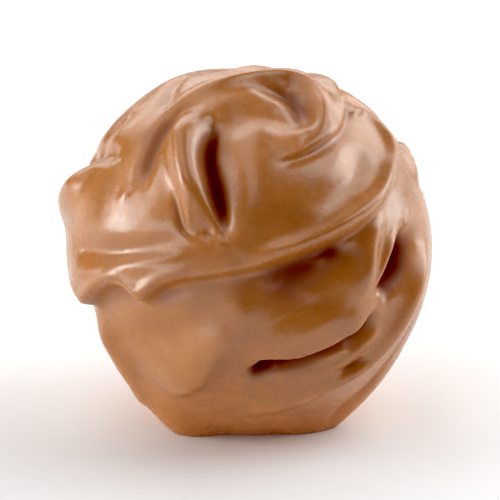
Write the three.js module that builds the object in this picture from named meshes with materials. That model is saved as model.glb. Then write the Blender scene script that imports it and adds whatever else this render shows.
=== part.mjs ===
// A milk-chocolate praline: one solid ball of chocolate with poured and pulled folds.
// Millimetres, +Z up, shown face toward -Y, resting on its flat foot at z = 0.
import * as THREE from 'three';
import { mergeVertices } from 'three/addons/utils/BufferGeometryUtils.js';

// the ball under the folds
const ballRadius = 14.05;
const ballShift = 0.95;          // its centre lies this far to the right
const restLevel = -13.9;         // height of the flat foot below the middle
const lookDown = 20;             // degrees; the shown face is tilted up by this much
const depthShare = 0.97;         // it is a little less deep than wide
const meshDetail = 23;           // triangles: 20 * (meshDetail + 1)^2 = 11520
const gather = 0.15;             // how far the mesh is drawn toward the shown face

// paths are laid out in millimetres on the shown face, x right and y up from its middle;
// a point further out than the face radius lies that much behind the outline
const faceRadius = 15;
const pathRadius = 14.8;         // distances from a path are measured on this ball
const stepsPerSpan = 8;

// a far-side path is a shown one mirrored through the outline, drawn in and lifted
const farWidth = 0.9;
const farHeight = 0.85;
const farLift = 20;              // degrees

const radians = THREE.MathUtils.degToRad;

function onFace(x, y) {
  const a = x / faceRadius;
  const b = y / faceRadius;
  const out = Math.hypot(a, b);
  if (out <= 1) {
    return new THREE.Vector3(a, b, Math.sqrt(1 - out * out));
  }
  const inward = (2 - out) / out;
  const near = 2 - out;
  return new THREE.Vector3(a * inward, b * inward, -Math.sqrt(1 - near * near));
}

function onFar(x, y) {
  const a = x / faceRadius * farWidth;
  const b = y / faceRadius * farHeight;
  const depth = -Math.sqrt(Math.max(1 - a * a - b * b, 0.0004));
  return new THREE.Vector3(a, b, depth).applyAxisAngle(new THREE.Vector3(1, 0, 0), radians(farLift));
}

// face axes (right, up, toward the viewer) and standing axes differ by a turn about X
function toStanding(point) {
  return point.applyAxisAngle(new THREE.Vector3(1, 0, 0), radians(90 - lookDown));
}

function toFace(point) {
  return point.applyAxisAngle(new THREE.Vector3(1, 0, 0), radians(lookDown - 90));
}

// smooth curve on the unit ball through the points, with the height share at each sample
function trace(points, shares, fades, closed) {
  const count = points.length;
  const spans = closed ? count : count - 1;
  const at = (k) => (closed ? (k + count) % count : Math.min(Math.max(k, 0), count - 1));
  const blend = (a, b, c, d, t) =>
    0.5 * (2 * b + (c - a) * t + (2 * a - 5 * b + 4 * c - d) * t * t + (3 * b - a - 3 * c + d) * t * t * t);
  const curve = [];
  const heights = [];
  for (let k = 0; k <= spans * stepsPerSpan; k += 1) {
    const span = Math.min(Math.floor(k / stepsPerSpan), spans - 1);
    const t = k / stepsPerSpan - span;
    const near = [at(span - 1), at(span), at(span + 1), at(span + 2)];
    const [a, b, c, d] = near.map((n) => points[n]);
    const sample = new THREE.Vector3(
      blend(a.x, b.x, c.x, d.x, t),
      blend(a.y, b.y, c.y, d.y, t),
      blend(a.z, b.z, c.z, d.z, t),
    );
    curve.push(sample.normalize());
    heights.push(shares ? blend(...near.map((n) => shares[n]), t) : 1);
  }
  if (!shares) {
    const along = [0];
    for (let k = 1; k < curve.length; k += 1) {
      along.push(along[k - 1] + curve[k].distanceTo(curve[k - 1]) * pathRadius);
    }
    const total = along[along.length - 1];
    for (let k = 0; k < curve.length; k += 1) {
      const rise = fades[0] ? THREE.MathUtils.smoothstep(along[k], 0, fades[0]) : 1;
      const fall = fades[1] ? THREE.MathUtils.smoothstep(total - along[k], 0, fades[1]) : 1;
      heights[k] = rise * fall;
    }
  }
  return { curve, heights };
}

// every pull of the chocolate: height in mm (negative cuts in), reach to the left and right
// of its path, fade lengths at both ends, sideways lean that makes a lip hang over
const pulls = [];

function lay(name, height, reach, fades, points, options = {}) {
  const { lean = 0, leanReach = 1.2, power = 2, shares = null, closed = false } = options;
  const { curve, heights } = trace(points, shares, fades, closed);
  const middle = new THREE.Vector3();
  curve.forEach((u) => middle.add(u));
  middle.normalize();
  const furthest = Math.min(...curve.map((u) => u.dot(middle)));
  const spread = 3 * Math.max(...reach, lean ? leanReach : 0) / 14;
  const angle = Math.min(Math.acos(THREE.MathUtils.clamp(furthest, -1, 1)) + spread, Math.PI);
  const limit = reach[0] === Infinity ? -2 : Math.cos(angle);
  pulls.push({ name, height, reach, fades, points, lean, leanReach, power, curve, heights, middle, limit });
}

function pull(name, height, reach, fades, flat, options) {
  const points = [];
  for (let k = 0; k < flat.length; k += 2) {
    points.push(onFace(flat[k], flat[k + 1]));
  }
  lay(name, height, reach, fades, points, options);
}

// the poured cap: a plateau whose edge hangs over as a lip, thick in front, thin at the right
// rows are x, y and the share of the full thickness there
const capThickness = 1.35;
const capEdgeReach = 0.68;
const capLean = 0.15;
const capEdge = [
  [-14.2, -3.3, 1], [-13.4, -4.2, 1.1], [-12.4, -3.2, 1.1], [-11.6, -2.75, 1], [-10.7, -2.6, 1],
  [-9.8, -2.85, 1], [-9.1, -3.5, 1.05], [-8.5, -3.85, 1.1], [-7.8, -3.3, 1.1], [-6.8, -2.6, 1],
  [-5.2, -2.15, 1], [-2.8, -1.75, 1], [0, -1.2, 1], [2, -0.65, 1], [4, 0, 1], [6, 0.8, 1],
  [8, 1.95, 1], [9.6, 3.3, 0.8], [10.7, 4.9, 0.55], [11.35, 6.7, 0.4], [11.2, 8.6, 0.3],
  [9.2, 11.4, 0.3],
];
const capFarEdge = [
  [-13.2, -4, 1], [-11.4, -5.2, 1], [-9.8, -5, 1], [-8.2, -3.4, 1], [-6.4, -3.6, 1], [-5, -5, 1.1],
  [-3.8, -4, 1], [-1, -2.6, 1], [2.5, -2.4, 1], [4.6, -3.8, 1.1], [5.8, -2.2, 1], [8.2, -0.2, 1],
  [10.2, 3, 0.9], [11.6, 6.4, 0.8], [11.8, 9.4, 0.5],
];
const edgePoints = [
  ...capEdge.map(([x, y]) => onFace(x, y)),
  ...capFarEdge.map(([x, y]) => onFar(x, y)).reverse(),
];
const edgeShares = [
  ...capEdge.map(([, , share]) => share),
  ...capFarEdge.map(([, , share]) => share).reverse(),
];
const capOptions = { lean: capLean, shares: edgeShares, closed: true };
lay('cap', capThickness, [Infinity, capEdgeReach], [0, 0], edgePoints, capOptions);

// folds, grooves and bulges of the shown side
pull('rim bead left', 0.28, [0.5, 0.4], [0, 6], [-14.2, -2.9, -13.4, -3.7, -12.3, -2.9, -10.7, -2.25,
  -9.7, -2.55, -9, -3.1, -8.5, -3.4, -7.8, -2.95, -6.8, -2.3, -5.2, -1.85, -2, -1.3]);
pull('rim bead', 0.6, [0.7, 0.45], [6, 9], [-1, -1.1, 2, -0.3, 6, 1.25, 9.3, 3.5, 10.8, 5.9, 11.1, 8.2,
  8.2, 12.4]);
pull('inner dip', -0.5, [1.1, 1.1], [5, 4], [3.5, 2.4, 8, 4.6, 9.4, 7.2, 9, 8.8]);
pull('rim band left', 0.2, [0.8, 0.7], [0, 6], [-14, -2.1, -10.5, -1.6, -6, -1.2, -1.5, -0.6]);
pull('trough', -0.32, [1.0, 0.9], [3, 5], [-14.3, 0, -10.5, -0.35, -6.5, 0.1, -3, 0.6]);
pull('bead left', 0.25, [0.45, 0.45], [0.5, 0.5], [-9.8, 3.9, -9.2, 4.6]);
pull('curl', 1.1, [1.1, 0.75], [22, 5], [-9.9, 3.9, -8.6, 6.4, -7.2, 9.3, -4.6, 11.8, -1.8, 12.95,
  1.2, 13.6, 3.4, 13.5, 4.9, 12.75, 5.6, 11.6, 5.65, 10.4, 5.1, 9.2, 3.9, 8.4]);
pull('cup', -0.85, [2.1, 2.1], [0, 0], [-0.6, 10.3, 1.0, 10.7, 2.5, 10.5]);
pull('cup shade', -0.7, [0.45, 1.2], [4, 2.5], [-1.0, 12.2, 0.7, 12.65, 2.5, 12.5, 3.6, 11.8, 4.3, 10.9,
  4.5, 10, 4.2, 9.0]);
pull('band', 0.5, [0.45, 1.3], [0.8, 6], [5.0, 14.5, 6.7, 13.3, 7.35, 12, 7.4, 10.5, 6.8, 9.1, 5, 7.8,
  2.4, 6.5], { lean: -0.1, leanReach: 0.35 });
pull('band groove', -0.28, [0.55, 0.35], [8, 2], [7.9, 12.5, 7.75, 10.2, 7.1, 8.9, 5.3, 7.4, 3.2, 6.5,
  1.9, 6.1]);
pull('top dimple', -0.7, [1.2, 0.8], [1, 1.5], [8.4, 12.0, 10.6, 10.6]);
pull('side dimple', -0.3, [0.6, 0.6], [1, 2], [12, 8.9, 13, 7]);
pull('fold', 1.3, [1.7, 1.0], [4, 5], [-4.1, 11.2, -4.95, 8.5, -4.6, 5.6, -3.5, 3.1, -2.1, 1.2]);
pull('fold lip', 0.1, [0.3, 0.6], [3, 5.5], [-2.9, 10, -3.5, 7.3, -2.7, 4.2, -1.75, 1]);
pull('crevice', -1.3, [0.5, 0.36], [4, 4.5], [-2.6, 10.6, -3.45, 7.4, -2.95, 4.8, -1.5, 0.4]);
pull('crevice bank', -1.05, [1.9, 0.6], [5, 5.5], [-2.6, 11.2, -3.45, 7.4, -2.9, 4.8, -1.6, 0.8,
  -1.0, -0.4]);
pull('column', 0.15, [2.0, 1.3], [3.5, 3], [0.9, 11, 0.2, 8, 0.2, 4, 0.2, 0.6]);
pull('hollow', -0.55, [0.9, 0.8], [1.5, 1.5], [-3.7, 2.1, -2.7, 0.9, -1.9, 0.3]);
pull('groove', -0.8, [0.6, 0.9], [3, 3], [-3.8, 11.7, -5.6, 10.5, -6.7, 9.0, -7.5, 7.2, -8.0, 5.3,
  -8.1, 3.8]);
pull('tongue groove', -0.3, [0.4, 0.35], [3, 1.5], [-5.5, 5.6, -5, 2, -4.1, 0.9, -3.7, 1.4]);
pull('tongue', 0.26, [0.45, 0.45], [3, 1], [-4.9, 5.6, -4.5, 2.9, -4.2, 1.1]);
pull('valley left', -0.6, [0.9, 1], [0, 4.5], [-13, 7.5, -8.9, 7.1]);
pull('bulge left', 1.1, [1.7, 1.6], [4, 6], [-12.2, 6, -13.6, 5.2, -14.8, 3.5, -16.2, 3.8]);
pull('top left bulge', 0.1, [2.2, 1.8], [4.5, 3], [-9.6, 11.2, -7.5, 12.9, -2, 14.8, 5.2, 14]);
pull('top left valley', -0.35, [0.7, 0.7], [1.5, 2], [-5.2, 13.9, -6, 12.7, -6.3, 10.8]);
pull('top ridge', 0.22, [0.6, 0.8], [3, 2], [-4.5, 13.8, -1.5, 14.45, 2, 14.9, 4.5, 14.6]);
pull('shoulder', 0.6, [1.1, 1.2], [2.5, 6], [12.0, 9.4, 13.2, 7.0, 14.5, 2.8]);
pull('rib right', 0.75, [1.0, 1], [4.5, 4], [11.1, 4.2, 9.9, 0.8, 9.5, -2.4, 8.2, -5.2]);
pull('pit', -2.8, [1.5, 0.6], [3, 3.5], [13.3, 1.6, 12.7, -0.4, 11.2, -4.0, 10.5, -5.0]);
pull('pit core', -2.6, [0.7, 0.4], [1.5, 1.5], [13.0, 1.0, 12.5, -0.6, 11.8, -2.4, 11.1, -3.7]);
pull('pit rim', 0.35, [0.7, 0.4], [2.5, 2], [12.0, 1.9, 11.3, -0.3, 10.1, -3.6]);
pull('lower fold', 0.75, [1.2, 0.85], [6, 7.5], [14.6, 1.6, 13.8, -2.3, 11.8, -6.8, 9.2, -9.7, 4, -12.4,
  -1.6, -14.3]);
pull('inner ridge', 0.3, [0.5, 0.5], [1.5, 3], [11.2, -6.2, 8, -9.3, 5.2, -10.7]);
pull('slit', -0.55, [0.25, 0.25], [1, 1], [9.9, -8.7, 7.5, -10.3]);
pull('crease', -1.6, [0.5, 0.95], [1.5, 3.5], [0.2, -10.7, 1.2, -10.4, 2.1, -9.8, 3.0, -9.6, 4.4, -9.35,
  5.6, -8.9, 6.7, -8.45, 7.6, -7.65, 8.6, -7.2, 10.2, -6.1, 11.0, -4.7, 11.5, -3.4]);
pull('crease core', -2.4, [0.3, 0.4], [0.8, 2.0], [0.6, -10.5, 1.3, -10.35, 2.1, -9.8, 3, -9.55,
  4.4, -9.3, 6, -8.75, 7.7, -7.75, 9, -6.95, 10.2, -6, 10.9, -5]);
pull('belly', 0.75, [2, 0.4], [5, 3.5], [-0.6, -9.6, 2.4, -9.2, 5.4, -8.5, 9.5, -6.1, 10.5, -4.5],
  { lean: 0.75, leanReach: 0.9 });
pull('dark dent', -0.63, [2, 1.9], [2, 6], [1.4, -2.8, 2.6, -3.9, 6, -3.2, 8.4, -0.8]);
pull('under lip', -1.2, [0.8, 1.5], [7, 1.5], [-2, -3.0, 2, -2.3, 5.5, -1.1, 8.5, 0.5]);
pull('pale bump', 0.4, [1.0, 0.8], [1.5, 1.5], [5.4, -1.7, 7.6, -0.4]);
pull('body turn', 0.3, [1.6, 1.2], [2.5, 3], [-0.8, -3.2, -0.1, -6, 0.7, -8.4]);
pull('body wave', 0.26, [1, 1], [5.5, 4.5], [-12, -6, -7, -5.2, -2.5, -4.6]);
pull('body hollow', -0.3, [1.5, 1.5], [6, 3], [-11.5, -8, -8.5, -8.2, -5.5, -7.2, -1.2, -5.4]);
pull('lower layer', 0.85, [0.8, 3], [3.5, 8], [1.2, -6.9, -2.1, -8.4, -3.2, -10.1, -4.3, -11.5,
  -7.4, -12.8]);
pull('foot line', -0.25, [0.4, 0.4], [9, 3], [14, -4, 11.2, -9.6, 5.4, -14]);
pull('foot right', 1.5, [2, 1.6], [13, 5.5], [13.6, -6.4, 10.8, -10.4, 6.8, -13.4, 1.8, -14.8]);
pull('foot left', 1.55, [1.6, 2.2], [4.5, 5.5], [-1, -15, -4.8, -14.2, -10.4, -10.8]);
pull('lower left', 0.55, [1.6, 2.4], [3.5, 5.5], [-11.6, -6.2, -12.2, -7.6, -11.2, -9.6, -9.2, -12.0]);
pull('crease step', 0.45, [0.5, 0.4], [0.8, 0.8], [1.6, -11.2, 2.6, -10.6, 3.2, -10.5]);
pull('crease ledge', 0.3, [0.35, 0.5], [1.5, 1.5], [5.6, -9.6, 7.2, -8.9, 8.9, -7.9]);
pull('belly wave', 0.25, [0.8, 0.8], [2, 2], [3.2, -7.6, 5.6, -6.2, 8.2, -4.9]);
pull('body line', 0.18, [0.5, 0.9], [2, 2], [3.6, -3.0, 5.4, -3.75, 7.0, -3.9]);
pull('side line', -0.3, [0.5, 0.7], [3, 3], [13.9, 4.4, 13.2, 7.6, 11.4, 10.4]);
pull('limb dent', -0.38, [1.5, 1.5], [1.5, 1], [-9.0, 11.4, -11.6, 9.0, -12.8, 7.6]);
pull('side fold', 0.8, [0.9, 2.2], [5, 6], [15.5, 7.5, 17.5, 2.5, 19.5, -2.5, 20.5, -7.5]);
pull('side groove', -0.9, [0.8, 0.6], [4, 5], [16.6, 6.5, 18.4, 1.8, 20.0, -3.2]);
pull('side layer', 0.55, [0.5, 2.6], [4, 5], [15.7, 2.0, 16.6, -2.8, 17.6, -8.0, 18.0, -12.0]);

// a ring of pooled chocolate round the foot, thicker behind than in front
const ringPoints = [];
const ringShares = [];
const ringCount = 12;
for (let k = 0; k < ringCount; k += 1) {
  const around = 2 * Math.PI * k / ringCount;
  const down = radians(-69);
  const out = Math.cos(down);
  ringPoints.push(toFace(new THREE.Vector3(Math.sin(around) * out, -Math.cos(around) * out, Math.sin(down))));
  const sideways = 0.15 * Math.cos(around) + 0.2 * Math.sin(around);
  ringShares.push(0.75 - sideways + 0.08 * Math.sin(4 * around));
}
lay('foot ring', 1.6, [3.2, 1.8], [0, 0], ringPoints, { shares: ringShares, closed: true });

// the far side repeats these pulls, each with its share of the shown height
const farShare = {
  curl: 1, cup: 1, 'cup shade': 1, band: 1, 'band groove': 1, fold: 1, 'fold lip': 1, crevice: 0.8,
  groove: 1, crease: 0.7, belly: 1, pit: 0.6, 'dark dent': 1, 'lower layer': 1.2, 'rib right': 1,
  'lower fold': 1, 'body wave': 1.5, 'rim bead': 1, trough: 1,
};
for (const path of [...pulls]) {
  if (path.name in farShare) {
    const { height, reach, fades, lean, leanReach, power } = path;
    const points = path.points.map((u) => onFar(u.x * faceRadius, u.y * faceRadius)).reverse();
    const turned = [fades[1], fades[0]];
    lay(`far ${path.name}`, height * farShare[path.name], reach, turned, points, { lean, leanReach, power });
  }
}

// pulls that rise or fall faster than this many mm per mm draw the mesh edges to their path
const steepness = 1;
const settleReach = 0.55;
const settleShare = 0.7;
const steepPulls = pulls.filter((path) => Math.abs(path.height) > steepness * Math.min(...path.reach));

// signed distance from a path (left of travel is positive), height share and sideways direction
function across(u, path) {
  const { curve, heights } = path;
  const here = u.clone().multiplyScalar(pathRadius);
  const from = new THREE.Vector3();
  const run = new THREE.Vector3();
  const off = new THREE.Vector3();
  const gaps = [];
  const levels = [];
  let nearest = Infinity;
  const nearestOff = new THREE.Vector3();
  const nearestRun = new THREE.Vector3();
  for (let k = 0; k < curve.length - 1; k += 1) {
    from.copy(curve[k]).multiplyScalar(pathRadius);
    run.copy(curve[k + 1]).multiplyScalar(pathRadius).sub(from);
    off.copy(here).sub(from);
    const t = THREE.MathUtils.clamp(off.dot(run) / run.lengthSq(), 0, 1);
    off.addScaledVector(run, -t);
    const gap = off.length();
    gaps.push(gap);
    levels.push(heights[k] + t * (heights[k + 1] - heights[k]));
    if (gap < nearest) {
      nearest = gap;
      nearestOff.copy(off);
      nearestRun.copy(run);
    }
  }
  const soft = 0.35 + 0.35 * nearest;
  let weights = 0;
  let share = 0;
  gaps.forEach((gap, k) => {
    const weight = Math.exp(-(((gap - nearest) / soft) ** 2));
    weights += weight;
    share += weight * levels[k];
  });
  const toLeft = u.clone().cross(nearestRun).normalize();
  const distance = nearest * Math.sign(nearestOff.dot(toLeft));
  return { distance, share: share / weights, toRight: toLeft.negate(), offset: nearestOff };
}

// draws a mesh direction toward the steep paths near it, so that edges lie along them
function settle(u) {
  for (const path of steepPulls) {
    if (u.dot(path.middle) > path.limit) {
      const { distance, share, offset } = across(u, path);
      const draw = settleShare * Math.min(share, 1) * Math.exp(-((distance / settleReach) ** 2));
      u.addScaledVector(offset, -draw / pathRadius).normalize();
    }
  }
  return u;
}

// where the surface lies in direction u from the middle, in face axes
function surface(u) {
  const along = u.x * ballShift;
  let radius = along + Math.sqrt(ballRadius ** 2 - ballShift ** 2 + along * along);
  radius += 0.1 * Math.sin(5.3 * u.x + 1.1) * Math.sin(4.1 * u.y + 0.6) * Math.sin(4.7 * u.z + 2);
  const slide = new THREE.Vector3();
  for (const path of pulls) {
    if (u.dot(path.middle) > path.limit) {
      const { distance, share, toRight } = across(u, path);
      const reach = distance > 0 ? path.reach[0] : path.reach[1];
      const profile = Math.exp(-(Math.abs(distance / reach) ** path.power));
      radius += path.height * share * profile;
      if (path.lean) {
        const hang = distance > 0 ? Math.exp(-((distance / path.leanReach) ** 2)) : profile;
        slide.addScaledVector(toRight, path.lean * share * hang);
      }
    }
  }
  return u.clone().multiplyScalar(radius).add(slide);
}

function makePraline() {
  const ball = new THREE.IcosahedronGeometry(1, meshDetail);
  ball.deleteAttribute('normal');
  ball.deleteAttribute('uv');
  const geometry = mergeVertices(ball, 1e-5);
  const position = geometry.attributes.position;
  const u = new THREE.Vector3();
  for (let k = 0; k < position.count; k += 1) {
    u.fromBufferAttribute(position, k).normalize();
    u.z += gather;
    const point = toStanding(surface(settle(u.normalize())));
    point.y *= depthShare;
    point.z = Math.max(point.z, restLevel);
    position.setXYZ(k, point.x, point.y, point.z);
  }
  geometry.computeBoundingBox();
  const { min, max } = geometry.boundingBox;
  geometry.translate(-(min.x + max.x) / 2, -(min.y + max.y) / 2, -min.z);
  geometry.computeVertexNormals();
  return geometry;
}

const milkChocolate = new THREE.MeshStandardMaterial({
  name: 'milk chocolate',
  color: new THREE.Color(0xa1673a),
  roughness: 0.35,
  metalness: 0,
});

const praline = new THREE.Mesh(makePraline(), milkChocolate);
praline.name = 'praline';

const part = new THREE.Group();
part.name = 'chocolate_praline';
part.add(praline);

export default part;
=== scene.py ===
import math
import bpy
import numpy as np
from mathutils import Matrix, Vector


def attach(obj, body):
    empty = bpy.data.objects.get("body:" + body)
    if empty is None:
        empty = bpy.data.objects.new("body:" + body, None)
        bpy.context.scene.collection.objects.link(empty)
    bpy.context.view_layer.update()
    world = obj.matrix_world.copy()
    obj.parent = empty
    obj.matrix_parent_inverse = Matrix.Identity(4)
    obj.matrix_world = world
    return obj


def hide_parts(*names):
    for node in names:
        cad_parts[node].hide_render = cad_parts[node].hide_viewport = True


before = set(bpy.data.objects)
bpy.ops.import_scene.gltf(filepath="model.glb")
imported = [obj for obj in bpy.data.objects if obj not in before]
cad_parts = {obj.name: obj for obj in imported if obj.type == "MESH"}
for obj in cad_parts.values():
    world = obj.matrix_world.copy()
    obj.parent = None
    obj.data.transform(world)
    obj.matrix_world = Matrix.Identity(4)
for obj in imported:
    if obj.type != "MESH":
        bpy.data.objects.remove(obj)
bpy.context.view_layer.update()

print("praline: frame loaded")

# All lengths of the praline below are millimetres. Face axes are x right, y up and z toward
# the viewer of its shown side; standing axes are x right, y away and z up.
praline = {
    "ballRadius": 14.05,         # the ball under the folds
    "ballShift": 0.95,           # its centre lies this far to the right
    "restLevel": -13.9,          # height of the flat foot below the middle
    "lookDown": 20.0,            # degrees; the shown face is tilted up by this much
    "depthShare": 0.97,          # it is a little less deep than wide
    "unevenness": 0.10,          # height of a slow swell of the whole ball
    "swellWaves": (5.3, 4.1, 4.7), "swellStarts": (1.1, 0.6, 2.0),     # its sines along x, y, z
    "gridCuts": 126,             # quads across one of the six sheets of the ball
    "gather": 0.15,              # how far the grid is drawn toward the shown face
    "faceRadius": 15.0,          # paths are laid out on a face of this radius
    "pathRadius": 14.8,          # distances from a path are measured on this ball
    "stepsPerSpan": 8,           # pieces of curve between two points of a path
    "reachWidths": 3,            # a pull reaches this many widths from its path,
    "reachRadius": 14,           # taken as an angle on a ball of this radius
    "bendBlend": 0.35,           # softness of the height where a path bends
    "farWidth": 0.9,             # a far-side path is a shown one mirrored through the outline,
    "farHeight": 0.85,           # drawn in by these shares
    "farLift": 20.0,             # and turned up by these degrees
    "farLeast": 0.0004,          # least squared depth, which keeps it off the outline itself
    "lookSides": 12,             # openness is looked for to this many sides,
    "lookSteps": (0.25, 0.5, 0.8, 1.2, 1.8, 2.6, 3.6),     # at these distances
    "lookSoft": 0.05,            # added to each line of sight, so that the nearest count less
    "lookAxis": 0.7,             # sides are taken across x, or across y where u is nearer x
}

# the poured cap: a plateau whose edge hangs over as a lip; rows are x, y, share of its thickness
cap = {
    "thickness": 1.35,
    "edgeWidth": 0.68,           # how softly it falls off below its edge
    "overhang": 0.15,            # how far the edge is slid outward,
    "leanWidth": 1.2,            # and how far in from the edge that reaches
    "shownEdge": [
        (-14.2, -3.3, 1), (-13.4, -4.2, 1.1), (-12.4, -3.2, 1.1), (-11.6, -2.75, 1),
        (-10.7, -2.6, 1), (-9.8, -2.85, 1), (-9.1, -3.5, 1.05), (-8.5, -3.85, 1.1),
        (-7.8, -3.3, 1.1), (-6.8, -2.6, 1), (-5.2, -2.15, 1), (-2.8, -1.75, 1), (0, -1.2, 1),
        (2, -0.65, 1), (4, 0, 1), (6, 0.8, 1), (8, 1.95, 1), (9.6, 3.3, 0.8), (10.7, 4.9, 0.55),
        (11.35, 6.7, 0.4), (11.2, 8.6, 0.3), (9.2, 11.4, 0.3),
    ],
    "farEdge": [
        (-13.2, -4, 1), (-11.4, -5.2, 1), (-9.8, -5, 1), (-8.2, -3.4, 1), (-6.4, -3.6, 1),
        (-5, -5, 1.1), (-3.8, -4, 1), (-1, -2.6, 1), (2.5, -2.4, 1), (4.6, -3.8, 1.1),
        (5.8, -2.2, 1), (8.2, -0.2, 1), (10.2, 3, 0.9), (11.6, 6.4, 0.8), (11.8, 9.4, 0.5),
    ],
}

# a ring of pooled chocolate round the foot, thicker behind than in front
footRing = {
    "height": 1.6,
    "widths": (3.2, 1.8),        # outward and toward the middle of the foot
    "down": 69.0,                # degrees below level, seen from the middle of the ball
    "points": 12,
    "share": 0.75,               # share of its height, before what follows is taken off or added
    "frontLess": 0.15, "rightLess": 0.20,
    "ripple": 0.08, "ripples": 4,
}

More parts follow.
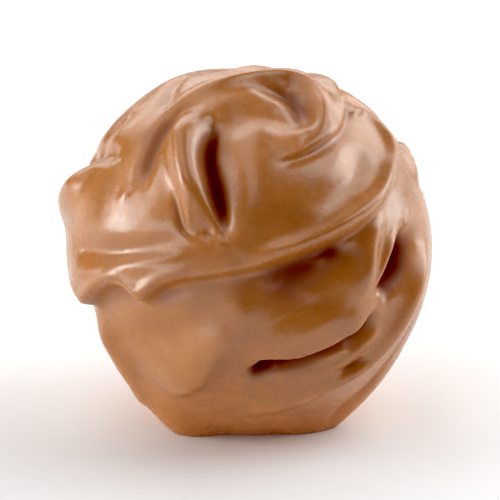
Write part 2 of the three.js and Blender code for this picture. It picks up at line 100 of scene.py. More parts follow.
# Folds, grooves and bulges of the shown side. A row is name, height (negative cuts in), widths to
# the left and right of its path, fade lengths at both ends, what the pull has besides, and its
# path of x, y. lean slides the surface to the right of the path so that a lip hangs over, and
# leanWidth is how far that reaches on the left.
pulls = [
    # the lip: beads, bands and dips along the cap's edge
    ("rim bead left", 0.28, (0.5, 0.4), (0, 6), {},
     [(-14.2, -2.9), (-13.4, -3.7), (-12.3, -2.9), (-10.7, -2.25), (-9.7, -2.55), (-9, -3.1),
      (-8.5, -3.4), (-7.8, -2.95), (-6.8, -2.3), (-5.2, -1.85), (-2, -1.3)]),
    ("rim bead", 0.75, (0.6, 0.45), (6, 7), {},
     [(-1, -1.1), (2, -0.3), (6, 1.25), (9.3, 3.5), (10.8, 5.9), (11.1, 8.2), (8.2, 12.4)]),
    ("inner dip", -0.48, (1.2, 0.9), (5, 4), {},
     [(3.5, 2.2), (7.3, 4.2), (8.6, 6.3), (8.8, 8.6)]),
    ("rim band left", 0.26, (0.8, 0.7), (0, 6), {},
     [(-14, -2.1), (-10.5, -1.6), (-6, -1.2), (-1.5, -0.6)]),
    ("trough", -0.5, (1.0, 0.9), (3, 5), {},
     [(-14.3, 0), (-10.5, -0.35), (-6.5, 0.1), (-3, 0.6)]),
    ("bead left", 0.25, (0.45, 0.45), (0.5, 0.5), {}, [(-9.8, 3.9), (-9.2, 4.6)]),
    # the curl with its cup, and the band outside it
    ("curl", 1.1, (1.1, 0.75), (22, 5), {},
     [(-9.9, 3.9), (-8.6, 6.4), (-7.2, 9.3), (-4.6, 11.8), (-1.8, 12.95), (1.2, 13.6),
      (3.4, 13.5), (4.9, 12.75), (5.6, 11.6), (5.65, 10.4), (5.1, 9.2), (3.9, 8.4)]),
    ("cup", -0.7, (2.1, 2.1), (0, 0), {}, [(-0.6, 10.3), (1.0, 10.7), (2.5, 10.5)]),
    ("cup shade", -0.85, (0.45, 1.5), (4.5, 1.8), {},
     [(-0.2, 12.7), (1.4, 12.95), (3.1, 12.7), (4.2, 12.0), (4.85, 11.0), (5.0, 10), (4.6, 8.9)]),
    ("band", 0.5, (0.45, 1.3), (0.8, 6), {"lean": -0.1, "leanWidth": 0.35},
     [(5.0, 14.5), (6.7, 13.3), (7.35, 12), (7.4, 10.5), (6.8, 9.1), (5, 7.8), (2.4, 6.5)]),
    ("band groove", -0.28, (0.55, 0.35), (8, 2), {},
     [(7.9, 12.5), (7.75, 10.2), (7.1, 8.9), (5.3, 7.4), (3.2, 6.5), (1.9, 6.1)]),
    # dimples near the upper right edge
    ("top dimple", -0.7, (1.2, 0.8), (1, 1.5), {}, [(8.4, 12.0), (10.6, 10.6)]),
    ("side dimple", -0.3, (0.6, 0.6), (1, 2), {}, [(12, 8.9), (13, 7)]),
    # the fold, the crevice beside it and the grooves to its left
    ("fold", 1.3, (1.7, 1.0), (4, 5), {},
     [(-4.1, 11.2), (-4.95, 8.5), (-4.6, 5.6), (-3.5, 3.1), (-2.1, 1.2)]),
    ("fold lip", 0.1, (0.3, 0.6), (3, 5.5), {},
     [(-2.9, 10), (-3.5, 7.3), (-2.7, 4.2), (-1.75, 1)]),
    ("crevice", -1.3, (0.5, 0.36), (4, 4.0), {},
     [(-2.35, 10.6), (-3.1, 7.4), (-2.55, 4.8), (-1.2, 0.3)]),
    ("crevice bank", -1.05, (1.9, 0.6), (5, 5.5), {},
     [(-2.45, 11.2), (-3.2, 7.4), (-2.65, 4.8), (-1.35, 0.8), (-0.8, -0.4)]),
    ("column", 0.15, (2.0, 1.3), (3.5, 3), {}, [(0.9, 11), (0.2, 8), (0.2, 4), (0.2, 0.6)]),
    ("hollow", -0.55, (0.9, 0.8), (1.5, 1.5), {}, [(-3.7, 2.1), (-2.7, 0.9), (-1.9, 0.3)]),
    ("groove", -0.8, (0.6, 0.9), (3, 3), {},
     [(-3.8, 11.7), (-5.6, 10.5), (-6.7, 9.0), (-7.5, 7.2), (-8.0, 5.3), (-8.1, 3.8)]),
    ("tongue groove", -0.3, (0.4, 0.35), (3, 1.5), {},
     [(-5.5, 5.6), (-5, 2), (-4.1, 0.9), (-3.7, 1.4)]),
    ("tongue", 0.26, (0.45, 0.45), (3, 1), {}, [(-4.9, 5.6), (-4.5, 2.9), (-4.2, 1.1)]),
    # the left and top edges of the cap
    ("valley left", -0.6, (0.9, 1), (0, 4.5), {}, [(-13, 7.5), (-8.9, 7.1)]),
    ("bulge left", 1.1, (1.7, 1.6), (4, 6), {},
     [(-12.2, 6), (-13.6, 5.2), (-14.8, 3.5), (-16.2, 3.8)]),
    ("top left bulge", 0.1, (2.2, 1.8), (4.5, 3), {},
     [(-9.6, 11.2), (-7.5, 12.9), (-2, 14.8), (5.2, 14)]),
    ("top left valley", -0.35, (0.7, 0.7), (1.5, 2), {},
     [(-5.2, 13.9), (-6, 12.7), (-6.3, 10.8)]),
    ("top ridge", 0.22, (0.6, 0.8), (3, 2), {},
     [(-4.5, 13.8), (-1.5, 14.45), (2, 14.9), (4.5, 14.6)]),
    # the right side: shoulder, rib, pit and lower fold
    ("shoulder", 0.6, (1.1, 1.2), (2.5, 6), {}, [(12.0, 9.4), (13.2, 7.0), (14.5, 2.8)]),
    ("rib right", 0.75, (1.0, 1), (4.5, 4), {},
     [(11.1, 4.2), (9.9, 0.8), (9.5, -2.4), (8.2, -5.2)]),
    ("pit", -3.0, (1.8, 0.7), (3, 2.0), {},
     [(12.95, 1.8), (12.4, -0.3), (11.2, -3.1), (10.9, -4.0)]),
    ("pit core", -2.6, (0.9, 0.5), (1.5, 1.5), {},
     [(12.8, 1.1), (12.3, -0.6), (11.5, -2.5), (11.2, -3.5)]),
    ("pit rim", 0.35, (0.7, 0.4), (2.5, 2), {}, [(12.0, 1.9), (11.3, -0.3), (10.1, -3.6)]),
    ("lower fold", 0.75, (1.2, 0.85), (6, 7.5), {},
     [(14.6, 1.6), (13.8, -2.3), (11.8, -6.8), (9.2, -9.7), (4, -12.4), (-1.6, -14.3)]),
    ("inner ridge", 0.3, (0.5, 0.5), (1.5, 3), {}, [(11.2, -6.2), (8, -9.3), (5.2, -10.7)]),
    ("slit", -0.55, (0.25, 0.25), (1, 1), {}, [(9.9, -8.7), (7.5, -10.3)]),
    # the long crease with the belly over it
    ("crease", -1.7, (0.5, 1.35), (1.5, 2.5), {},
     [(0.2, -10.7), (1.2, -10.3), (2.1, -9.6), (3.0, -9.3), (4.4, -9.0), (5.6, -8.5),
      (6.7, -8.05), (7.8, -7.25), (8.8, -6.8), (10.2, -5.9), (10.9, -5.4)]),
    ("crease core", -2.4, (0.35, 0.55), (0.8, 2.0), {},
     [(0.6, -10.6), (1.3, -10.35), (2.1, -9.65), (3, -9.35), (4.4, -9.0), (6, -8.4), (7.8, -7.35),
      (9.2, -6.6), (10.3, -5.8)]),
    ("belly", 0.75, (2, 0.4), (5, 3.5), {"lean": 0.6, "leanWidth": 0.9},
     [(-0.6, -9.5), (2.4, -8.7), (5.4, -7.75), (9.5, -5.4), (10.5, -4.0)]),
    # the body under the lip
    ("dark dent", -0.63, (2, 2.6), (2, 6), {},
     [(1.4, -2.8), (2.6, -3.9), (6, -3.2), (8.4, -0.8)]),
    ("under lip", -1.2, (0.8, 1.7), (7, 1.5), {},
     [(-2, -3.0), (2, -2.3), (5.5, -1.1), (8.5, 0.5)]),
    ("pale bump", 0.4, (1.0, 0.8), (1.5, 1.5), {}, [(5.4, -1.7), (7.6, -0.4)]),
    ("body turn", 0.3, (1.6, 1.2), (2.5, 3), {}, [(-0.8, -3.2), (-0.1, -6), (0.7, -8.4)]),
    ("body wave", 0.26, (1, 1), (5.5, 4.5), {}, [(-12, -6), (-7, -5.2), (-2.5, -4.6)]),
    ("body hollow", -0.3, (1.5, 1.5), (6, 3), {},
     [(-11.5, -8), (-8.5, -8.2), (-5.5, -7.2), (-1.2, -5.4)]),
    ("lower layer", 0.85, (0.8, 3), (3.5, 8), {},
     [(1.2, -6.9), (-2.1, -8.4), (-3.2, -10.1), (-4.3, -11.5), (-7.4, -12.8)]),
    # the foot and the lower left
    ("foot line", -0.25, (0.4, 0.4), (9, 3), {}, [(14, -4), (11.2, -9.6), (5.4, -14)]),
    ("foot right", 1.5, (2, 1.6), (13, 5.5), {},
     [(13.6, -6.4), (10.8, -10.4), (6.8, -13.4), (1.8, -14.8)]),
    ("foot left", 1.55, (1.6, 2.2), (4.5, 5.5), {}, [(-1, -15), (-4.8, -14.2), (-10.4, -10.8)]),
    ("lower left", 0.95, (1.6, 2.2), (4.0, 2.5), {},
     [(-12.4, -5.2), (-12.2, -7.6), (-10.9, -9.8), (-9.0, -12.0), (-7.4, -13.2)]),
    # small steps in the crease and on the belly
    ("crease step", 0.45, (0.5, 0.4), (0.8, 0.8), {}, [(1.6, -11.2), (2.6, -10.6), (3.2, -10.5)]),
    ("crease ledge", 0.3, (0.35, 0.5), (1.5, 1.5), {}, [(5.6, -9.6), (7.2, -8.9), (8.9, -7.9)]),
    ("belly wave", 0.25, (0.8, 0.8), (2, 2), {}, [(3.2, -7.6), (5.6, -6.2), (8.2, -4.9)]),
    ("body line", 0.18, (0.5, 0.9), (2, 2), {}, [(3.6, -3.0), (5.4, -3.75), (7.0, -3.9)]),
    # the sides
    ("side line", -0.3, (0.5, 0.7), (3, 3), {}, [(13.9, 4.4), (13.2, 7.6), (11.4, 10.4)]),
    ("limb dent", -0.38, (1.5, 1.5), (1.5, 1), {}, [(-9.0, 11.4), (-11.6, 9.0), (-12.8, 7.6)]),
    ("side fold", 0.8, (0.9, 2.2), (5, 6), {},
     [(15.5, 7.5), (17.5, 2.5), (19.5, -2.5), (20.5, -7.5)]),
    ("side groove", -0.9, (0.8, 0.6), (4, 5), {}, [(16.6, 6.5), (18.4, 1.8), (20.0, -3.2)]),
    ("side layer", 0.55, (0.5, 2.6), (4, 5), {},
     [(15.7, 2.0), (16.6, -2.8), (17.6, -8.0), (18.0, -12.0)]),
    # two small beads with a hollow above each
    ("bead top", 0.4, (0.4, 0.35), (0.5, 0.5), {}, [(8.3, 10.6), (9.1, 10.9)]),
    ("hollow top", -0.7, (0.5, 0.35), (0.7, 0.7), {}, [(7.7, 12.1), (9.3, 11.5)]),
    ("bead side", 0.4, (0.4, 0.35), (0.5, 0.5), {}, [(11.3, 8.3), (12.1, 8.7)]),
    ("hollow side", -0.6, (0.45, 0.35), (0.7, 0.7), {}, [(11.7, 9.3), (13.1, 8.0)]),
]

# pulls that the far side repeats, with their share of the shown height
farShare = {
    "curl": 1, "cup": 1, "cup shade": 1, "band": 1, "band groove": 1, "fold": 1, "fold lip": 1,
    "crevice": 0.8, "groove": 1, "crease": 0.7, "belly": 1, "pit": 0.6, "dark dent": 1,
    "lower layer": 1.2, "rib right": 1, "lower fold": 1, "body wave": 1.5, "rim bead": 1,
    "trough": 1,
}


def onFace(x, y):
    # point of the unit ball under face position x, y; past the outline it folds back behind
    a, b = x/praline["faceRadius"], y/praline["faceRadius"]
    out = math.hypot(a, b)
    if out <= 1:
        return np.array([a, b, math.sqrt(1 - out*out)])
    inward = (2 - out)/out
    return np.array([a*inward, b*inward, -math.sqrt(1 - (2 - out)**2)])


def onFar(x, y):
    # the same on the far side: mirrored through the outline, drawn in, then turned up
    a = x/praline["faceRadius"]*praline["farWidth"]
    b = y/praline["faceRadius"]*praline["farHeight"]
    c = -math.sqrt(max(1 - a*a - b*b, praline["farLeast"]))
    turn = math.radians(praline["farLift"])
    return np.array([a, b*math.cos(turn) - c*math.sin(turn), b*math.sin(turn) + c*math.cos(turn)])


def toStanding(points):
    # face axes turned about X by the look-down angle, then a little less deep than wide
    tilt = math.radians(praline["lookDown"])
    x, y, z = points.T
    back = (y*math.sin(tilt) - z*math.cos(tilt))*praline["depthShare"]
    return np.stack([x, back, y*math.cos(tilt) + z*math.sin(tilt)], 1)


def smoothStep(t):
    t = np.clip(t, 0, 1)
    return t*t*(3 - 2*t)


def trace(points, shares, fades, closed):
    # Catmull-Rom curve through the points, pushed out to the unit ball; height share along it is
    # given, or rises from 0 over the first fade length and falls to 0 over the last
    rows = np.array(points)
    if shares is not None:
        rows = np.column_stack([rows, shares])
    count = len(rows)
    t = np.linspace(0, 1, praline["stepsPerSpan"], endpoint=False)[:, None]
    parts = []
    for k in range(count if closed else count - 1):
        near = [k + n for n in (-1, 0, 1, 2)]
        near = [n % count if closed else min(max(n, 0), count - 1) for n in near]
        a, b, c, d = rows[near]
        parts.append(0.5*(2*b + (c - a)*t + (2*a - 5*b + 4*c - d)*t**2
                          + (3*b - a - 3*c + d)*t**3))
    parts.append(rows[:1] if closed else rows[-1:])
    curve = np.concatenate(parts)
    unit = curve[:, :3]/np.linalg.norm(curve[:, :3], axis=1, keepdims=True)
    if shares is not None:
        return unit, curve[:, 3]
    steps = np.linalg.norm(np.diff(unit, axis=0), axis=1)*praline["pathRadius"]
    along = np.concatenate([[0], np.cumsum(steps)])
    share = np.ones(len(along))
    if fades[0]:
        share *= smoothStep(along/fades[0])
    if fades[1]:
        share *= smoothStep((along[-1] - along)/fades[1])
    return unit, share


def makePath(name, height, widths, fades, points, lean=0.0, leanWidth=0.0, shares=None,
             closed=False):
    # a pull with its curve, its height share along it, and the part of the ball that it reaches:
    # directions within a limit of the middle of the curve
    curve, share = trace(points, shares, fades, closed)
    middle = curve.mean(0)
    middle /= np.linalg.norm(middle)
    widest = max(*widths, leanWidth if lean else 0)
    spread = praline["reachWidths"]*widest/praline["reachRadius"]
    angle = min(math.acos(np.clip((curve @ middle).min(), -1, 1)) + spread, math.pi)
    limit = math.cos(angle) if widest < math.inf else -math.inf     # the cap reaches everywhere
    return {"name": name, "height": height, "widths": widths, "fades": fades, "points": points,
            "lean": lean, "leanWidth": leanWidth, "curve": curve, "share": share,
            "middle": middle, "limit": limit}


def makePaths():
    shown, far = cap["shownEdge"], cap["farEdge"][::-1]
    edge = [onFace(x, y) for x, y, s in shown] + [onFar(x, y) for x, y, s in far]
    paths = [makePath("cap", cap["thickness"], (math.inf, cap["edgeWidth"]), (0, 0), edge,
                      lean=cap["overhang"], leanWidth=cap["leanWidth"],
                      shares=[s for x, y, s in shown + far], closed=True)]
    for name, height, widths, fades, more, flat in pulls:
        points = [onFace(x, y) for x, y in flat]
        paths.append(makePath(name, height, widths, fades, points, **more))
    around = np.linspace(0, 2*math.pi, footRing["points"], endpoint=False)
    down, tilt = math.radians(footRing["down"]), math.radians(praline["lookDown"])
    # the ring is laid out in standing axes and turned back into face axes
    x, y = np.sin(around)*math.cos(down), -np.cos(around)*math.cos(down)
    z = np.full_like(x, -math.sin(down))
    faceY, faceZ = y*math.sin(tilt) + z*math.cos(tilt), z*math.sin(tilt) - y*math.cos(tilt)
    ring = np.stack([x, faceY, faceZ], 1)
    ripple = footRing["ripple"]*np.sin(footRing["ripples"]*around)
    shares = (footRing["share"] - footRing["frontLess"]*np.cos(around)
              - footRing["rightLess"]*np.sin(around) + ripple)
    paths.append(makePath("foot ring", footRing["height"], footRing["widths"], (0, 0), ring,
                          shares=shares, closed=True))
    for path in list(paths):
        if path["name"] in farShare:
            size = praline["faceRadius"]
            turned = [onFar(p[0]*size, p[1]*size) for p in path["points"]][::-1]
            paths.append(makePath("far " + path["name"], path["height"]*farShare[path["name"]],
                                  path["widths"], path["fades"][::-1], turned,
                                  lean=path["lean"], leanWidth=path["leanWidth"]))
    return paths


def across(u, path):
    # signed distance of each direction u from the path, left of travel positive, with the height
    # share and the sideways direction there; near a bend the shares of close pieces are blended
    # by weight exp(-((gap - smallest gap)/soft)^2), soft = bendBlend + bendBlend * smallest gap
    ball = praline["pathRadius"]
    start = path["curve"][:-1]*ball
    run = np.diff(path["curve"], axis=0)*ball
    here = u*ball
    gaps = np.empty((len(start), len(u)), np.float32)
    spots = np.empty_like(gaps)
    for k in range(len(start)):
        off = here - start[k]
        spots[k] = np.clip(off @ run[k]/(run[k] @ run[k]), 0, 1)
        gaps[k] = np.linalg.norm(off - spots[k][:, None]*run[k], axis=1)
    pick = gaps.argmin(0)
    each = np.arange(len(u))
    nearest = gaps[pick, each]
    soft = praline["bendBlend"] + praline["bendBlend"]*nearest
    weight = np.exp(-((gaps - nearest)/soft)**2)
    low, rise = path["share"][:-1], np.diff(path["share"])
    share = (weight*(low[:, None] + spots*rise[:, None])).sum(0)/weight.sum(0)
    offset = here - (start[pick] + spots[pick, each][:, None]*run[pick])
    toLeft = np.cross(u, run[pick])
    toLeft /= np.linalg.norm(toLeft, axis=1, keepdims=True) + 1e-12     # so never by 0
    return nearest*np.sign((offset*toLeft).sum(1)), share, -toLeft


def surface(u, paths):
    # radius along u = shifted ball + unevenness * product of three sines, one for each axis +
    # sum over pulls of height * share * exp(-(distance/width)^2); a pull with a lean also
    # slides the point toward its right
    shift = praline["ballShift"]
    along = u[:, 0]*shift
    radius = along + np.sqrt(praline["ballRadius"]**2 - shift**2 + along**2)
    swell = np.sin(u*np.array(praline["swellWaves"]) + np.array(praline["swellStarts"]))
    radius += praline["unevenness"]*swell.prod(1)
    plain = radius.copy()
    slide = np.zeros_like(u)
    for path in paths:
        close = u @ path["middle"] > path["limit"]
        gap, share, toRight = across(u[close], path)
        profile = np.exp(-(gap/np.where(gap > 0, *path["widths"]))**2)
        radius[close] += path["height"]*share*profile
        if path["lean"]:
            hang = np.where(gap > 0, np.exp(-(gap/path["leanWidth"])**2), profile)
            slide[close] += toRight*(path["lean"]*share*hang)[:, None]
    return u*radius[:, None] + slide, radius - plain


def ballGrid(cuts):
    # six square sheets, each point (tan a, tan b, 1) pushed out to the unit ball, with the
    # doubled edge points merged so that the skin is closed
    g = np.tan(np.linspace(-math.pi/4, math.pi/4, cuts + 1))
    a, b = np.meshgrid(g, g, indexing="ij")
    one = np.ones_like(a)
    sheets = [(a, b, one), (b, a, -one), (one, a, b), (-one, b, a), (b, one, a), (a, -one, b)]
    points, quads = [], []
    corner = np.arange((cuts + 1)**2).reshape(cuts + 1, cuts + 1)
    for k, sheet in enumerate(sheets):
        flat = np.stack(sheet, -1).reshape(-1, 3)
        points.append(flat/np.linalg.norm(flat, axis=1, keepdims=True))
        ids = corner + k*corner.size
        corners = [ids[:-1, :-1], ids[1:, :-1], ids[1:, 1:], ids[:-1, 1:]]
        quads.append(np.stack(corners, -1).reshape(-1, 4))
    points, quads = np.concatenate(points), np.concatenate(quads)
    rounded = np.round(points, 6)
    _, first, back = np.unique(rounded, axis=0, return_index=True, return_inverse=True)
    ids = back.reshape(6, cuts + 1, cuts + 1)
    return points[first], back.reshape(-1)[quads], ids


def pointNormals(points, quads):
    # sum of the crossed diagonals of the quads round each point, made unit length
    a, b, c, d = (points[quads[:, k]] for k in range(4))
    normal = np.cross(c - a, d - b)
    total = np.stack([np.bincount(quads.ravel(), np.repeat(normal[:, axis], 4), len(points))
                      for axis in range(3)], 1)
    return total/np.linalg.norm(total, axis=1, keepdims=True)


def gridPoint(u, ids):
    # number of the grid point nearest each direction u: the sheet is the one its largest
    # coordinate points at, and the place on it is the angle of the other two
    cuts = ids.shape[1] - 1
    size = np.abs(u)
    axis = size.argmax(1)
    sheet = np.empty(len(u), int)
    first, second = np.empty(len(u)), np.empty(len(u))
    # for each sheet: the axis it faces, the sign, and the axes of its first and second grid line
    sheets = ((2, 1, 0, 1), (2, -1, 1, 0), (0, 1, 1, 2),
              (0, -1, 2, 1), (1, 1, 2, 0), (1, -1, 0, 2))
    for k, (facing, sign, i, j) in enumerate(sheets):
        here = (axis == facing) & (u[:, facing]*sign > 0)
        sheet[here] = k
        first[here] = u[here, i]/size[here, facing]
        second[here] = u[here, j]/size[here, facing]
    row, column = (np.rint((np.arctan(t)/(math.pi/2) + 0.5)*cuts).astype(int)
                   for t in (first, second))
    return ids[sheet, row, column]


def openness(u, ids, points, normals):
    # 1 - mean over the sides of the squared sine of the horizon: the horizon is the steepest
    # line of sight from a point to the skin around it, found at growing steps to every side.
    # The sides are spread round u between two axes across it.
    awayFromX = np.abs(u[:, :1]) < praline["lookAxis"]
    side = np.cross(u, np.where(awayFromX, [[1.0, 0, 0]], [[0, 1.0, 0]]))
    side /= np.linalg.norm(side, axis=1, keepdims=True)
    other = np.cross(u, side)
    total = np.zeros(len(u))
    for turn in np.linspace(0, 2*math.pi, praline["lookSides"], endpoint=False):
        way = side*math.cos(turn) + other*math.sin(turn)
        horizon = np.zeros(len(u))
        for step in praline["lookSteps"]:
            ahead = u + way*(step/praline["pathRadius"])
            off = points[gridPoint(ahead, ids)] - points
            rise = (off*normals).sum(1)/(np.linalg.norm(off, axis=1) + praline["lookSoft"])
            horizon = np.maximum(horizon, rise)
        total += horizon**2
    return 1 - total/praline["lookSides"]


def makeMesh(name, points, quads, attributes):
    # points come in millimetres
    mesh = bpy.data.meshes.new(name)
    mesh.vertices.add(len(points))
    mesh.vertices.foreach_set("co", (points/1000).ravel())
    mesh.loops.add(quads.size)
    mesh.loops.foreach_set("vertex_index", quads.ravel())
    mesh.polygons.add(len(quads))
    mesh.polygons.foreach_set("loop_start", np.arange(0, quads.size, 4))
    mesh.polygons.foreach_set("use_smooth", np.ones(len(quads), bool))
    mesh.update(calc_edges=True)
    for key, values in attributes.items():
        attribute = mesh.attributes.new(key, "FLOAT", "POINT")
        attribute.data.foreach_set("value", values.astype(np.float32))
    piece = bpy.data.objects.new(name, mesh)
    bpy.context.scene.collection.objects.link(piece)
    return piece


def makePraline():
    # the even grid is drawn together on the shown side, pulled into shape, stood up, cut off
    # flat at the foot and moved so that its box is centred with its bottom at zero
    even, quads, ids = ballGrid(praline["gridCuts"])
    u = even + np.array([0, 0, praline["gather"]])
    u /= np.linalg.norm(u, axis=1, keepdims=True)
    points, relief = surface(u, makePaths())
    points = toStanding(points)
    points[:, 2] = np.maximum(points[:, 2], praline["restLevel"])
    low, high = points.min(0), points.max(0)
    points -= np.array([(low[0] + high[0])/2, (low[1] + high[1])/2, low[2]])
    opened = openness(even, ids, points, pointNormals(points, quads))
    print("praline: skin of", len(quads), "quads, size", np.round(high - low, 2), "openness",
          np.round(np.percentile(opened, [1, 10, 50, 90]), 2))
    return makeMesh("pralineSkin", points, quads, {"relief": relief, "openness": opened})


# the finish: glossy milk chocolate, ochre on the crests, with painted shade: darker on low parts
# and deep red-brown in the creases; sizes and heights are millimetres, glowScale metres
chocolate = {
    "crest": (0.430, 0.180, 0.052, 1),
    # painted shade: the darker colour of low parts, where less light reaches
    "low": (0.165, 0.038, 0.009, 1),
    "lowShadeFrom": -0.10, "lowShadeTo": -1.65,        # relief at which crest turns into the painted low shade
    # painted shade: the deep red-brown of creases, where shade and bounced light fall
    "crease": (0.130, 0.022, 0.005, 1),
    "openFrom": 0.50, "openTo": 0.985,       # openness from full painted crease shade to none
    # spots this much darker and lighter
    "mottle": 0.10, "mottleSize": 3.0, "mottleDetail": 3.0, "mottleRange": (0.3, 0.7),
    "paintedFloorLight": 1.28, "floorLightUpTo": 8.0,       # painted light bounced up from the floor: the lowest part is this much paler, up to here
    "roughness": (0.22, 0.31),               # the gloss is smeared between these two
    "smearSize": 1.1, "smearDetail": 4.0, "smearRoughness": 0.6, "smearRange": (0.35, 0.65),
    "creaseRoughness": 0.9,                  # in creases and low parts
    # heights of a fine grain and a slow wave of the surface
    "grain": 0.014, "grainSize": 0.22, "grainDetail": 2.0,
    "wave": 0.03, "waveSize": 1.8, "waveDetail": 1.0,
    "refraction": 1.75,
    # light that goes in and comes out again nearby, red the farthest
    "glow": 0.25, "glowReach": (1.0, 0.35, 0.12), "glowScale": 0.0009,
}


def chocolateFinish():
    material = bpy.data.materials.new("milkChocolate")
    material.use_nodes = True
    tree = material.node_tree
    shader = tree.nodes["Principled BSDF"]

    def node(kind, **settings):
        new = tree.nodes.new("ShaderNode" + kind)
        for key, value in settings.items():
            setattr(new, key, value)
        return new

    def link(source, target):
        tree.links.new(source, target)

    def ranged(source, low, high, toLow=0.0, toHigh=1.0):
        new = node("MapRange", interpolation_type="SMOOTHSTEP")
        link(source, new.inputs["Value"])
        limits = {"From Min": low, "From Max": high, "To Min": toLow, "To Max": toHigh}
        for key, value in limits.items():
            new.inputs[key].default_value = value
        return new.outputs["Result"]

    def noise(size, detail, roughness=0.5):
        new = node("TexNoise")
        link(place.outputs["Object"], new.inputs["Vector"])
        new.inputs["Scale"].default_value = 1000/size
        new.inputs["Detail"].default_value = detail
        new.inputs["Roughness"].default_value = roughness
        return new.outputs["Fac"]

    def mix(kind, factor, first, second):
        new = node("Mix", data_type="RGBA", blend_type=kind)
        for key, value in {"Factor": factor, "A": first, "B": second}.items():
            if isinstance(value, (float, tuple)):
                new.inputs[key].default_value = value
            else:
                link(value, new.inputs[key])
        return new.outputs["Result"]

    def bump(source, height, under=None):
        new = node("Bump")
        new.inputs["Strength"].default_value = 1.0
        new.inputs["Distance"].default_value = height/1000
        link(source, new.inputs["Height"])
        if under:
            link(under, new.inputs["Normal"])
        return new.outputs["Normal"]

    place = node("TexCoord")
    # openness is 0 deep in a crease and 1 on a crest; relief is how far the pulls lift the skin.
    # high is 1 on the crests and 0 where the skin is low, bared 1 in the open and 0 in a crease;
    # both blend in painted shade and the dull gloss.
    opened = node("Attribute", attribute_name="openness").outputs["Fac"]
    relief = node("Attribute", attribute_name="relief").outputs["Fac"]
    # painted shade: low parts of the skin get the darker low colour
    high = ranged(relief, chocolate["lowShadeTo"], chocolate["lowShadeFrom"])
    colour = mix("MIX", high, chocolate["low"], chocolate["crest"])
    # painted shade: shut-in creases get the dark crease colour
    bared = ranged(opened, chocolate["openFrom"], chocolate["openTo"])
    colour = mix("MIX", bared, chocolate["crease"], colour)
    spots = noise(chocolate["mottleSize"], chocolate["mottleDetail"])
    darker, lighter = 1 - chocolate["mottle"], 1 + chocolate["mottle"]
    mottle = ranged(spots, *chocolate["mottleRange"], darker, lighter)
    colour = mix("MULTIPLY", 1.0, colour, mottle)
    # painted light: the lowest part, lit from the floor below, is made paler
    height = node("SeparateXYZ")
    link(place.outputs["Object"], height.inputs["Vector"])
    top = chocolate["floorLightUpTo"]/1000
    floorLightFactor = ranged(height.outputs["Z"], 0.0, top, chocolate["paintedFloorLight"], 1.0)
    colour = mix("MULTIPLY", 1.0, colour, floorLightFactor)
    link(colour, shader.inputs["Base Color"])
    # the gloss is smeared on the open skin and dull where it is shut in or low
    smears = noise(chocolate["smearSize"], chocolate["smearDetail"], chocolate["smearRoughness"])
    smear = ranged(smears, *chocolate["smearRange"], *chocolate["roughness"])
    dull = (chocolate["creaseRoughness"],)*3 + (1.0,)
    glossy = node("Math", operation="MULTIPLY")
    link(bared, glossy.inputs[0])
    link(high, glossy.inputs[1])
    link(mix("MIX", glossy.outputs["Value"], dull, smear), shader.inputs["Roughness"])
    grain = bump(noise(chocolate["grainSize"], chocolate["grainDetail"]), chocolate["grain"])
    wave = bump(noise(chocolate["waveSize"], chocolate["waveDetail"]), chocolate["wave"], grain)
    link(wave, shader.inputs["Normal"])
    shader.inputs["IOR"].default_value = chocolate["refraction"]
    shader.inputs["Subsurface Weight"].default_value = chocolate["glow"]
    shader.inputs["Subsurface Radius"].default_value = chocolate["glowReach"]
    shader.inputs["Subsurface Scale"].default_value = chocolate["glowScale"]
    return material


skin = makePraline()
skin.data.materials.append(chocolateFinish())
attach(skin, "root")
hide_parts("praline")
print("praline: skin placed and finished")

# the room: a pale floor, soft panels round the praline and a pale surround
room = {
    "floorSize": 3.0,            # metres
    "floorColour": (0.86, 0.86, 0.86, 1),
    "floorRoughness": 0.9,
    "floorGlow": 0.04,           # the floor glows a little, like a light table
    "surround": 0.06,            # brightness of the background
    "shadowLevel": (0.014, 0.036, 0.030),     # red, green and blue that the view shows as black
    "distance": 0.36,            # panels stand this far from the praline's middle, metres
    # name: azimuth from, to (0 is the front, right positive), height angle from, to, brightness
    "panels": {
        "leftKey": (-104, -77, -2, 18, 7.4),
        "leftMid": (-102, -74, 18, 40, 3.0),
        "leftHigh": (-110, -60, 40, 60, 0.8),
        "leftBack": (-142, -108, 20, 50, 0.8),
        "frontLeft": (-72, -38, -4, 20, 2.6),
        "frontMid": (-36, -2, -4, 20, 0.5),
        "overLeft": (-165, -15, 60, 90, 1.2),
        "rightMid": (78, 98, 16, 42, 3.0),
        "rightKey": (98, 124, -2, 40, 4.6),
        "highRight": (60, 124, 44, 72, 2.3),
        "rightBack": (126, 160, 3, 50, 2.3),
        "back": (162, 218, 8, 50, 1.8),
    },
}

middle = Vector((0, 0, -praline["restLevel"]/1000))


def addFloor():
    half = room["floorSize"]/2
    mesh = bpy.data.meshes.new("floor")
    corners = [(-half, -half, 0), (half, -half, 0), (half, half, 0), (-half, half, 0)]
    mesh.from_pydata(corners, [], [(0, 1, 2, 3)])
    floor = bpy.data.objects.new("floor", mesh)
    bpy.context.scene.collection.objects.link(floor)
    paint = bpy.data.materials.new("paleFloor")
    paint.use_nodes = True
    shader = paint.node_tree.nodes["Principled BSDF"]
    shader.inputs["Base Color"].default_value = room["floorColour"]
    shader.inputs["Roughness"].default_value = room["floorRoughness"]
    shader.inputs["Emission Color"].default_value = (1, 1, 1, 1)
    shader.inputs["Emission Strength"].default_value = room["floorGlow"]
    mesh.materials.append(paint)


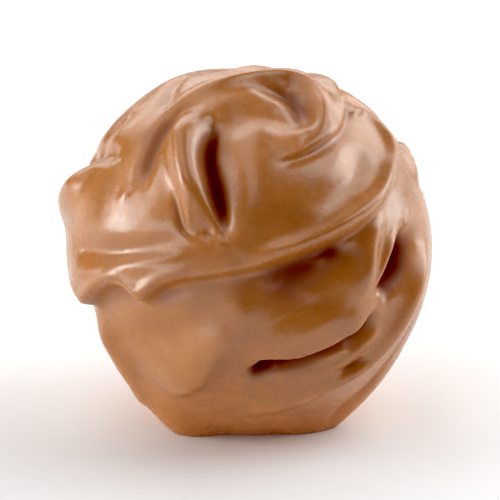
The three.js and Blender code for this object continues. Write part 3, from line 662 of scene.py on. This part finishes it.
def addPanel(name, azFrom, azTo, upFrom, upTo, brightness):
    # a flat panel that fills these angles as seen from the praline
    az, up = math.radians((azFrom + azTo)/2), math.radians((upFrom + upTo)/2)
    toward = Vector((math.sin(az)*math.cos(up), -math.cos(az)*math.cos(up), math.sin(up)))
    light = bpy.data.lights.new(name, "AREA")
    light.shape = "RECTANGLE"
    light.size = 2*room["distance"]*math.tan(math.radians(azTo - azFrom)/2)*math.cos(up)
    light.size_y = 2*room["distance"]*math.tan(math.radians(upTo - upFrom)/2)
    light.energy = brightness*light.size*light.size_y*math.pi
    panel = bpy.data.objects.new(name, light)
    panel.location = middle + toward*room["distance"]
    panel.rotation_mode = "QUATERNION"
    panel.rotation_quaternion = (-toward).to_track_quat("-Z", "Y")
    bpy.context.scene.collection.objects.link(panel)


addFloor()
for name, sizes in room["panels"].items():
    addPanel(name, *sizes)
world = bpy.data.worlds.new("surround")
world.use_nodes = True
world.node_tree.nodes["Background"].inputs["Color"].default_value = (1, 1, 1, 1)
world.node_tree.nodes["Background"].inputs["Strength"].default_value = room["surround"]
bpy.context.scene.world = world
view = bpy.context.scene.view_settings
view.view_transform = "Standard"
view.use_curve_mapping = True
view.curve_mapping.black_level = room["shadowLevel"]
view.curve_mapping.update()
print("room: floor,", len(room["panels"]), "panels and surround")

# the camera: a long lens, looking down on the praline's shown face
camera = {
    "distance": 0.40,                 # metres
    "pixelsPerMm": 12.4,              # how large the praline is shown
    "imageWidth": 500,                # pixels
    "aimRight": 5.0, "aimUp": -3.0,   # pixels from the praline's middle to the image's middle
    "sensor": 36.0,                   # width in millimetres
}


def addCamera():
    tilt = math.radians(praline["lookDown"])
    right = Vector((1, 0, 0))
    up = Vector((0, math.sin(tilt), math.cos(tilt)))
    back = Vector((0, -math.cos(tilt), math.sin(tilt)))
    lens = bpy.data.cameras.new("camera")
    lens.sensor_width = camera["sensor"]
    seen = camera["imageWidth"]/camera["pixelsPerMm"]/1000     # metres across the image
    lens.lens = camera["sensor"]*camera["distance"]/seen
    aim = middle + (right*camera["aimRight"] + up*camera["aimUp"])/camera["pixelsPerMm"]/1000
    eye = bpy.data.objects.new("camera", lens)
    eye.location = aim + back*camera["distance"]
    eye.rotation_mode = "QUATERNION"
    eye.rotation_quaternion = (-back).to_track_quat("-Z", "Y")
    bpy.context.scene.collection.objects.link(eye)
    bpy.context.scene.camera = eye


addCamera()
print("camera: placed")
